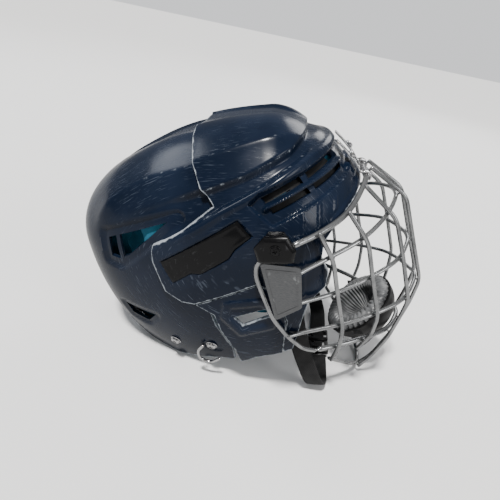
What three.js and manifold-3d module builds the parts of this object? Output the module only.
// Ice hockey helmet with a welded wire face cage, in millimetres, +Z up.
// Everything is drawn in the head frame: its origin is the middle of the egg-shaped shell,
// +X points to the face, +Y to the wearer's left. The last lines pitch the whole helmet nose-up
// onto the nape rim and the bottom of the cage, which is how it stands on a table.
import * as THREE from 'three';
import { mergeVertices } from 'three/addons/utils/BufferGeometryUtils.js';
import Module from 'manifold-3d';

const wasm = await Module();
wasm.setup();

// Shell form: an egg with its own half-length in each direction from the middle. Seen from
// above, its outline is a superellipse, fuller at the back of the head than at the brow.
const FRONT = 77;
const BACK = 164;
const UP = 87;
const DOWN = 186;
const HALF_WIDTH = 88;
const BROW_POWER = 2;
const NAPE_POWER = 2.5;

// How the walls are layered, as depths inside the outer surface.
const SHELL_WALL = 3.4;
const REAR_INSET = 4.2;
const LINER_INSET = 9;
const FOAM = 12;
const FIT_GAP = 0.5;

// Cage wires.
const WIRE = 1.65;
const BROW_WIRE = 2.1;
const LAYER = 2.1;
const FACE_MIDDLE = { x: 25, z: -57, slant: 0.4 };

// Pitch of the helmet when it stands on a table.
const REST_PITCH_DEG = 15;

const finish = {
  navy: { color: 0x1b2a45, roughness: 0.28, metalness: 0.0 },
  black: { color: 0x141517, roughness: 0.22, metalness: 0.0 },
  wire: { color: 0xc9ccd0, roughness: 0.35, metalness: 0.9 },
  chrome: { color: 0xd8dadd, roughness: 0.15, metalness: 1.0 },
  foam: { color: 0x2d6d8c, roughness: 0.9, metalness: 0.0 },
  webbing: { color: 0x191a1c, roughness: 0.85, metalness: 0.0 },
  vinyl: { color: 0x4b4d50, roughness: 0.6, metalness: 0.0 },
};

const helmet = new THREE.Group();

function addPiece(name, geometry, look, place = {}) {
  const mesh = new THREE.Mesh(geometry, new THREE.MeshStandardMaterial(finish[look]));
  mesh.name = name;
  mesh.position.set(...(place.at ?? [0, 0, 0]));
  mesh.rotation.set(...(place.turn ?? [0, 0, 0]));
  helmet.add(mesh);
  return mesh;
}

// Booleans: a closed geometry becomes a solid, and a solid a geometry again.
function solid(geometry) {
  const bare = geometry.clone();
  for (const name of Object.keys(bare.attributes)) {
    if (name !== 'position') bare.deleteAttribute(name);
  }
  const merged = mergeVertices(bare, 1e-4);
  return new wasm.Manifold(new wasm.Mesh({
    numProp: 3,
    vertProperties: Float32Array.from(merged.attributes.position.array),
    triVerts: Uint32Array.from(merged.index.array),
  }));
}

function toGeometry(body) {
  const mesh = body.getMesh();
  const geometry = new THREE.BufferGeometry();
  geometry.setAttribute('position', new THREE.BufferAttribute(mesh.vertProperties, 3));
  geometry.setIndex(new THREE.BufferAttribute(mesh.triVerts, 1));
  return geometry;
}

// A plate whose outline is drawn in the side view (x, z), from y = near to y = far.
function sidePlate(outline, near, far) {
  const shape = new THREE.Shape(outline.map(([x, z]) => new THREE.Vector2(x, z)));
  const plate = new THREE.ExtrudeGeometry(shape, { depth: far - near, bevelEnabled: false });
  plate.rotateX(Math.PI / 2);
  plate.translate(0, far, 0);
  return plate;
}

const mirrored = (body) => body.mirror([0, 1, 0]);

// Crown relief: two raised lobes run front to back, with a valley between them, and the
// crown falls away a little towards the brow.
const LOBE_RISE = 3;
const BROW_FALL = 5;
function crownRelief(x, y, z) {
  const across = Math.exp(-(((Math.abs(y) - 30) / 20) ** 2));
  const upper = THREE.MathUtils.smoothstep(z, 30, 70);
  const along = THREE.MathUtils.smoothstep(x, -150, -90) - THREE.MathUtils.smoothstep(x, 0, 40);
  const towardsBrow = THREE.MathUtils.smoothstep(x, 0, 45) * THREE.MathUtils.smoothstep(z, 60, 84);
  return LOBE_RISE * across * upper * along - BROW_FALL * towardsBrow;
}

// Half-lengths and plan power on the side of the egg that a point is on, `depth` mm inside.
function eggSizes(x, z, depth) {
  return {
    length: (x > 0 ? FRONT : BACK) - depth,
    width: HALF_WIDTH - depth,
    height: (z > 0 ? UP : DOWN) - depth,
    power: x > 0 ? BROW_POWER : NAPE_POWER,
  };
}

// Surface point in a direction from the middle; `inset` is a depth, or a function of x.
function surfacePoint(azimuth, elevation, inset) {
  const way = new THREE.Vector3(
    Math.cos(elevation) * Math.cos(azimuth),
    Math.cos(elevation) * Math.sin(azimuth),
    Math.sin(elevation),
  );
  const radiusAt = (depth) => {
    const { length, width, height, power } = eggSizes(way.x, way.z, depth);
    const plan = (Math.abs(way.x / length) ** power + Math.abs(way.y / width) ** power) ** (1 / power);
    return 1 / Math.hypot(plan, way.z / height);
  };
  const outer = way.clone().multiplyScalar(radiusAt(0));
  const depth = typeof inset === 'function' ? inset(outer.x) : inset;
  const point = way.multiplyScalar(radiusAt(depth));
  point.z += crownRelief(outer.x, outer.y, outer.z);
  return point;
}

// Half-width of the egg where the side view shows the point (x, z).
function halfWidthAt(x, z, depth) {
  const { length, width, height, power } = eggSizes(x, z, depth);
  const level = (1 - (z / height) ** 2) ** (power / 2);
  return width * (level - Math.abs(x / length) ** power) ** (1 / power);
}

// A closed egg at one inset, as rings from the bottom pole to the top pole.
function egg(inset, around = 44, rings = 22) {
  const sphere = new THREE.SphereGeometry(1, around, rings);
  sphere.rotateX(Math.PI / 2);
  const position = sphere.attributes.position;
  const way = new THREE.Vector3();
  for (let i = 0; i < position.count; i += 1) {
    way.fromBufferAttribute(position, i);
    const elevation = Math.asin(THREE.MathUtils.clamp(way.z, -1, 1));
    const point = surfacePoint(Math.atan2(way.y, way.x), elevation, inset);
    position.setXYZ(i, point.x, point.y, point.z);
  }
  return solid(sphere);
}

function layer(outerInset, wall, around, rings) {
  const deeper = typeof outerInset === 'function'
    ? (x) => outerInset(x) + wall
    : outerInset + wall;
  return egg(outerInset, around, rings).subtract(egg(deeper, around, rings));
}

const BIG = 260;
const cut = (outline, near = -BIG, far = BIG) => solid(sidePlate(outline, near, far));

// Side-view outlines. The rim is the lower edge that the whole shell is trimmed to.
const rim = [
  [100, 40], [72, 37], [63, 31], [50, 22], [42, 12], [40, 0], [45, -14], [43, -25], [31, -34],
  [26, -50], [18, -82], [0, -89], [-12, -94], [-27, -103], [-47, -104], [-70, -108], [-88, -111],
  [-104, -105], [-125, -98], [-146, -91], [-220, -89],
];
const insideRim = cut([...rim, [-220, 120], [100, 120]]);

// Front shell: everything ahead of the crown seam, with a side arm that reaches back.
const frontRegion = [
  [-50, 110], [-50, 80], [-46, 66], [-41, 52], [-32, 39.5], [-55, 24], [-80, 12], [-81, 0],
  [-76, -25], [-64, -34], [-54, -35], [-27, -24], [-4, -14], [10, -22], [15, -50], [10, -82],
  [30, -110], [110, -110], [110, 110],
];
// Rear shell: slides under the front one, so it starts ahead of the seam.
const rearRegion = [
  [-22, 110], [-24, 60], [-30, 30], [-48, 6], [-56, -20], [-46, -36], [-41, -62],
  [-32, -86], [-32, -120], [-220, -120], [-220, 110],
];
// Ear cover: the plate under the arm, with a slanted ear opening.
const earCover = [
  [-53, -36], [-27, -25], [-4, -15.2], [9, -23], [14, -50], [9.5, -86], [-12, -93.5],
  [-26, -102], [-28, -86], [-37, -62], [-40, -45],
];
const earOpening = [[-25, -46], [-19, -55], [6, -42], [1, -36]];
// Brow vent on each side of the front shell, split by ribs and a louvre.
const browVents = [
  [[0, 44.5], [3, 40], [28, 49.5], [25, 54]],
  [[28.5, 55.2], [31, 50.5], [51, 57], [48, 61.5]],
  [[5, 38.6], [8, 34], [33, 43], [30, 47.6]],
  [[33.5, 48.8], [36, 44], [54, 49.5], [52, 54.5]],
];
// A dark panel behind the vents, with two air holes that line up with the middle of the vents.
const louvrePanel = [
  [-4, 31], [-4, 46], [24, 57], [48, 65], [58, 60], [58, 47], [34, 40], [8, 30],
];
const louvreHoles = [
  [[4, 41.5], [6, 38], [24, 45], [22, 48.5]],
  [[33, 52.5], [35, 49], [49, 53.5], [47, 57]],
];
const rearVent = [[-122, 14], [-60, 31], [-114, -8], [-124, -6]];
const lowerRearVent = [[-126, -54], [-96, -60], [-106, -70], [-122, -66]];
const logoRecess = [
  [-75, 1], [-15, 33], [-5, 22], [-17, 13], [-22, 6], [-44, -7], [-52, -7], [-68, -17],
];
const logoPlate = [
  [-74, 0.8], [-15.4, 31.8], [-6.4, 21.8], [-17.8, 13.8], [-22.8, 6.8], [-44.2, -6.2],
  [-51.8, -6.2], [-67.6, -15.6],
];

const sideWall = (outline, least = 20) => {
  const right = cut(outline, -BIG, -least);
  return right.add(mirrored(right));
};

const rearDepth = (x) => REAR_INSET * THREE.MathUtils.smoothstep(x, -150, -92);
const recessFloor = egg(1.2, 40, 20);

let frontShell = layer(0, SHELL_WALL).intersect(insideRim).intersect(cut(frontRegion));
for (const vent of browVents) frontShell = frontShell.subtract(sideWall(vent));
frontShell = frontShell.subtract(sideWall(logoRecess).subtract(recessFloor));
addPiece('front_shell', toGeometry(frontShell), 'navy');

let rearShell = layer(rearDepth, SHELL_WALL).intersect(insideRim).intersect(cut(rearRegion));
for (const vent of [rearVent, lowerRearVent]) rearShell = rearShell.subtract(sideWall(vent));
addPiece('rear_shell', toGeometry(rearShell), 'navy');


for (const [side, name] of [[-1, 'right'], [1, 'left']]) {
  const onSide = (body) => (side < 0 ? body : mirrored(body));
  const wall = (outline, outer, thickness) => onSide(
    layer(outer, thickness, 40, 20).intersect(cut(outline, -BIG, -30)),
  );
  const put = (part, geometry, look, place) => addPiece(`${part}_${name}`, geometry, look, place);

  // Ear cover with its slanted opening, and the gloss plate that fills the arm's recess.
  const cover = wall(earCover, 0.4, SHELL_WALL).subtract(onSide(cut(earOpening, -BIG, -30)));
  put('ear_cover', toGeometry(cover), 'navy');
  put('logo_plate', toGeometry(wall(logoPlate, -0.2, 1.1)), 'black');

  // Louvre panel behind the brow vents.
  let louvre = wall(louvrePanel, 3.9, 1.8);
  for (const hole of louvreHoles) louvre = louvre.subtract(onSide(cut(hole, -BIG, -20)));
  put('louvre_panel', toGeometry(louvre), 'black');

  // Screw heads lie on the shell, facing along its surface normal.
  for (const [part, x, z, inset] of [
    ['rear_screw', -84, -88, REAR_INSET],
    ['hook_screw', -50, -86, REAR_INSET],
  ]) {
    const y = halfWidthAt(x, z, inset);
    const normal = new THREE.Vector3(
      y - halfWidthAt(x + 1, z, inset),
      side,
      y - halfWidthAt(x, z + 1, inset),
    ).normalize();
    const head = new THREE.CylinderGeometry(3.6, 4.4, 2.2, 16);
    const screw = put(part, head, 'chrome');
    screw.position.set(x, side * y, z).addScaledVector(normal, 1.1 + FIT_GAP);
    screw.quaternion.setFromUnitVectors(new THREE.Vector3(0, 1, 0), normal);
  }
}

// Liner: foam pads inside the shells, each cut out of one foam layer.
const foam = layer(LINER_INSET, FOAM, 28, 14);
const headWindow = cut([
  [62, 40], [50, 32], [34, 16], [30, -8], [22, -34], [8, -78], [-14, -84], [-70, -96],
  [-100, -92], [-220, -80], [-220, 120], [62, 120],
]);
const between = (body, from, to) => body.intersect(solid(sidePlate(
  [[from[0], from[1]], [to[0], from[1]], [to[0], to[1]], [from[0], to[1]]], -BIG, BIG)));
const lane = (body, near, far) => {
  const slab = new THREE.BoxGeometry(600, far - near, 600);
  slab.translate(0, (near + far) / 2, 0);
  return body.intersect(solid(slab));
};
const liner = foam.intersect(headWindow);
const frontFoam = between(liner, [-18, -150], [90, 120]);
const rearFoam = between(liner, [-230, -150], [-33, 120]);
addPiece('forehead_pad', toGeometry(lane(between(frontFoam, [30, -150], [90, 120]), -58, 58)), 'foam');
addPiece('crown_pad', toGeometry(lane(between(frontFoam, [-18, 40], [28, 120]), -42, 42)), 'foam');
addPiece('rear_pad', toGeometry(lane(between(rearFoam, [-230, -150], [-96, 120]), -48, 48)), 'foam');
addPiece('rear_crown_pad', toGeometry(lane(between(rearFoam, [-94, 36], [-33, 120]), -42, 42)), 'foam');
for (const [side, name] of [[-1, 'right'], [1, 'left']]) {
  const half = (body, least) => (side < 0 ? lane(body, -BIG, -least) : lane(body, least, BIG));
  const templePad = half(between(frontFoam, [-18, -50], [6, 38]), 44);
  addPiece(`temple_pad_${name}`, toGeometry(templePad), 'foam');
  const sideRearPad = half(between(rearFoam, [-94, -90], [-33, 34]), 50);
  addPiece(`rear_side_pad_${name}`, toGeometry(sideRearPad), 'foam');
}

// Cage. Wires are bent round bar, welded in two layers: level bars inside, upright bars outside.
const vector = ([x, y, z]) => new THREE.Vector3(x, y, z);

function layered(points, offset) {
  return points.map(vector).map((point) => {
    const outward = new THREE.Vector3(
      point.x - FACE_MIDDLE.x,
      point.y,
      (point.z - FACE_MIDDLE.z) * FACE_MIDDLE.slant,
    );
    return point.addScaledVector(outward.normalize(), offset);
  });
}

function bar(points, radius, steps = 19, sides = 7) {
  const curve = new THREE.CatmullRomCurve3(points, false, 'centripetal');
  const outline = [];
  for (let i = 0; i < sides; i += 1) {
    const angle = (i / sides) * 2 * Math.PI;
    outline.push(new THREE.Vector2(radius * Math.cos(angle), radius * Math.sin(angle)));
  }
  return new THREE.ExtrudeGeometry(new THREE.Shape(outline), {
    steps,
    extrudePath: curve,
    bevelEnabled: false,
  });
}

const acrossFace = (half) => [
  ...half.slice(1).reverse().map(([x, y, z]) => [x, -y, z]),
  ...half,
];

// Level bars, from the middle of the face out to the left; the right half mirrors it.
const levelBars = {
  cage_bar_1: {
    half: [[101, 0, 20], [100, 10, 20], [89.5, 36, 15], [71, 58, 7], [46, 76.5, 1], [30, 88, -2]],
  },
  cage_bar_2: {
    half: [[114, 0, -19.5], [112.8, 10, -19.6], [100, 40, -21], [75, 61, -26], [50, 75, -30],
      [28, 88, -29]],
  },
  cage_bar_3: {
    half: [[124, 0, -57.5], [122, 10, -58], [107, 40.5, -58.5], [81, 59.5, -60.5],
      [55, 71.5, -62], [27, 81, -63]],
  },
  jaw_bar: {
    half: [[112, 0, -99], [109, 12, -98.5], [99, 30, -97.5], [75, 50, -93.5], [52, 64.5, -90],
      [39.5, 71, -88.5]],
    radius: BROW_WIRE,
  },
  chin_bar: {
    half: [[79, 0, -156], [75, 22, -148], [62, 41, -130], [48, 56, -112]],
  },
};
// The brow bar is straight where the forehead clips hold it, because the cage turns on it.
const HINGE_X = 73.2;
const HINGE_Z = 38.8;
const browHalf = [
  [HINGE_X, 0, HINGE_Z], [HINGE_X, 10, HINGE_Z], [HINGE_X, 20, HINGE_Z], [69.4, 31, 33.6],
  [56.6, 58.6, 25.8], [38, 78.6, 20.8], [23, 89, 18],
];
addPiece('brow_bar', bar(acrossFace(browHalf).map(vector), BROW_WIRE, 34), 'wire');
for (const [name, { half, radius = WIRE }] of Object.entries(levelBars)) {
  addPiece(name, bar(layered(acrossFace(half), -LAYER), radius, 27), 'wire');
}

// Upright bars: the two middle ones, then three on each side.
const uprightBars = [
  [[77, 9, 41], [104, 10, 18.5], [113, 10.2, -19.6], [122.5, 9.7, -58], [117, 9.8, -80],
    [104, 10, -115], [88, 10, -144], [77, 10, -155]],
  [[71, 31, 34.5], [93, 37, 11.5], [100.3, 40, -21], [107.5, 40.3, -58], [104, 36, -77],
    [97, 31, -104], [85, 26, -131], [75, 23, -147]],
  [[58, 60, 27], [71.5, 59.5, 4], [76, 61, -26], [82, 59.5, -60], [79, 54, -82], [70, 46, -104]],
  [[38.5, 81.6, 22], [47.5, 75, -2], [51, 75, -31], [55.5, 71.5, -62], [54, 66, -84], [48, 57, -108]],
];
uprightBars.forEach((points, place) => {
  for (const [side, name] of [[-1, 'right'], [1, 'left']]) {
    const run = points.map(([x, y, z]) => [x, y * side, z]);
    addPiece(`upright_${place}_${name}`, bar(layered(run, LAYER), WIRE), 'wire');
  }
});

for (const [side, name] of [[-1, 'right'], [1, 'left']]) {
  const put = (part, geometry, look, place) => addPiece(`${part}_${name}`, geometry, look, place);
  const onThisSide = (points) => points.map(([x, y, z]) => vector([x, y * side, z]));

  // Side loop: from the keeper back over the ear, down the cheek to the end of the jaw bar.
  const loop = [[14, 92.5, 14], [4, 92.5, 11], [-3, 92.5, 5], [-4, 92.5, -5], [-1, 91.5, -18],
    [5, 89.5, -42], [15, 84.5, -63], [26, 77, -81],
    [34.5, 71.2, -88]];
  put('side_loop', bar(onThisSide(loop), WIRE, 20), 'wire');

  // Flat steel plate welded over the wires behind the face opening.
  const sheet = new THREE.Shape([
    new THREE.Vector2(0, 8), new THREE.Vector2(27, 5),
    new THREE.Vector2(27, -28), new THREE.Vector2(8, -38),
  ]);
  const sheetGeometry = new THREE.ExtrudeGeometry(sheet, { depth: 1.2, bevelEnabled: false });
  sheetGeometry.rotateX(Math.PI / 2);
  sheetGeometry.translate(0, 0.6, 0);
  put('cage_plate', sheetGeometry, 'wire', { at: [0, side * 96, 0] });

  // Keeper: the gloss block that traps the cage wires against the shell, and its screw.
  const keeper = sidePlate([[-3, 20], [4, 28], [19, 28], [24, 18], [21, 9.5], [-1, 9.5]], 0, 5);
  put('keeper', keeper, 'black', { at: [0, side < 0 ? -100.5 : 95.5, 0] });
  const keeperScrew = new THREE.CylinderGeometry(3.4, 3.4, 1.6, 16);
  put('keeper_screw', keeperScrew, 'chrome', { at: [11, side * (100.5 + 0.8 + FIT_GAP), 20] });

  // Strap anchor and its screw inside the shell, at the top of the chin strap.
  put('strap_anchor', new THREE.BoxGeometry(14, 1.8, 9), 'black', { at: [19, side * 76.2, -29] });

  // Wire hook below the ear cover, a J bent from thin round bar.
  const hook = [[-57, 74, -85], [-62, 73.4, -92], [-61, 72.8, -100], [-53, 72.4, -104], [-45, 72.8, -100]];
  put('wire_hook', bar(onThisSide(hook), 1.3, 12), 'chrome');

  // Forehead clip: a bent strip screwed to the brow that hooks round the brow bar.
  const strip = ribbon(
    [[51.5, 66], [58.3, 58.6], [66.5, 47.8], [69.7, 42.2], [72.9, 42.3], [75.8, 41.2],
      [77, 38.6], [75.8, 35.8]],
    1.4,
  );
  put('forehead_clip', sidePlate(strip, 0, 7), 'chrome', { at: [0, side < 0 ? -19 : 12, 0] });
  const clipScrew = put('forehead_screw', new THREE.CylinderGeometry(3, 3.4, 2, 16), 'chrome');
  const clipNormal = new THREE.Vector3(0.77, 0, 0.64).normalize();
  clipScrew.position.set(61.5, side * 15.5, 54.3).addScaledVector(clipNormal, 2.4);
  clipScrew.quaternion.setFromUnitVectors(new THREE.Vector3(0, 1, 0), clipNormal);
}

// A thick line: the outline of a bent strip, drawn round its middle line.
function ribbon(line, thickness) {
  const points = line.map(([a, b]) => new THREE.Vector2(a, b));
  const edge = (sign) => points.map((point, i) => {
    const before = points[Math.max(i - 1, 0)];
    const after = points[Math.min(i + 1, points.length - 1)];
    const along = after.clone().sub(before).normalize();
    return [point.x - along.y * sign * thickness / 2, point.y + along.x * sign * thickness / 2];
  });
  return [...edge(1), ...edge(-1).reverse()];
}

// Chin cup: a moulded bowl with a padded lining, held by tabs to the jaw bar.
const CUP_RADIUS = 34;
const CUP_DEPTH = 27;
const CUP_WIDEN = 1.04;
const CUP_AT = [76, 0, -92];
const CUP_TILT_DEG = -37;

function bowl(outerRadius, outerDepth, innerRadius, innerDepth) {
  const profile = [];
  const steps = 6;
  for (let i = 0; i <= steps; i += 1) {
    const angle = (i / steps) * Math.PI / 2;
    profile.push(new THREE.Vector2(outerRadius * Math.sin(angle), -outerDepth * Math.cos(angle)));
  }
  for (let i = steps; i >= 0; i -= 1) {
    const angle = (i / steps) * Math.PI / 2;
    profile.push(new THREE.Vector2(innerRadius * Math.sin(angle), -innerDepth * Math.cos(angle)));
  }
  const shape = new THREE.LatheGeometry(profile, 22);
  shape.rotateX(Math.PI / 2);
  shape.scale(1, CUP_WIDEN, 1);
  return shape;
}
const cupPlace = { at: CUP_AT, turn: [0, THREE.MathUtils.degToRad(CUP_TILT_DEG), 0] };
addPiece('chin_cup', bowl(CUP_RADIUS, CUP_DEPTH, CUP_RADIUS - 2.5, CUP_DEPTH - 2.5), 'black', cupPlace);
addPiece(
  'chin_cup_pad',
  bowl(CUP_RADIUS - 3, CUP_DEPTH - 3, CUP_RADIUS - 9, CUP_DEPTH - 8),
  'vinyl',
  cupPlace,
);
for (const [side, name] of [[-1, 'right'], [1, 'left']]) {
  addPiece(`cup_tab_${name}`, new THREE.BoxGeometry(8, 4.5, 1.8), 'webbing', {
    at: [72, side * 39.4, -94],
  });
}

// Chin strap: webbing from each anchor down inside the cage, buckled under the chin.
// Its width runs front to back, and it sweeps forward as it goes down.
const STRAP_WIDTH = 16;
const STRAP_SWEEP = 0.0016;
const STRAP_TOP = -34;
const strapRoute = [
  [74.8, -35], [72.5, -58], [67.8, -84], [66.5, -108], [64.5, -128], [58, -139], [46, -142.5],
  [18, -142.5],
];
function strapHalf(side) {
  const outline = ribbon(strapRoute, 1.8).map(([y, z]) => new THREE.Vector2(side * y, z));
  const strap = new THREE.ExtrudeGeometry(new THREE.Shape(outline), {
    depth: STRAP_WIDTH,
    bevelEnabled: false,
  });
  // The drawing plane is (y, z), and the extrusion runs along x.
  const position = strap.attributes.position;
  for (let i = 0; i < position.count; i += 1) {
    const y = position.getX(i);
    const z = position.getY(i);
    const x = 19 - STRAP_WIDTH / 2 + position.getZ(i) + STRAP_SWEEP * (STRAP_TOP - z) ** 2;
    position.setXYZ(i, x, y, z);
  }
  return strap;
}
for (const [side, name] of [[-1, 'right'], [1, 'left']]) {
  addPiece(`chin_strap_${name}`, strapHalf(side), 'webbing');
}
addPiece('buckle_socket', new THREE.BoxGeometry(20, 16, 5), 'black', { at: [38, 8.5, -141] });
addPiece('buckle_prong', new THREE.BoxGeometry(20, 16, 5), 'black', { at: [38, -8.5, -141] });

// Stand the helmet on the table: pitch it, then put the middle of its footprint at the origin.
helmet.rotation.y = THREE.MathUtils.degToRad(-REST_PITCH_DEG);
const stand = new THREE.Group();
stand.add(helmet);
const box = new THREE.Box3().setFromObject(stand, true);
const centre = box.getCenter(new THREE.Vector3());
helmet.position.set(-centre.x, -centre.y, -box.min.z);

export default stand;
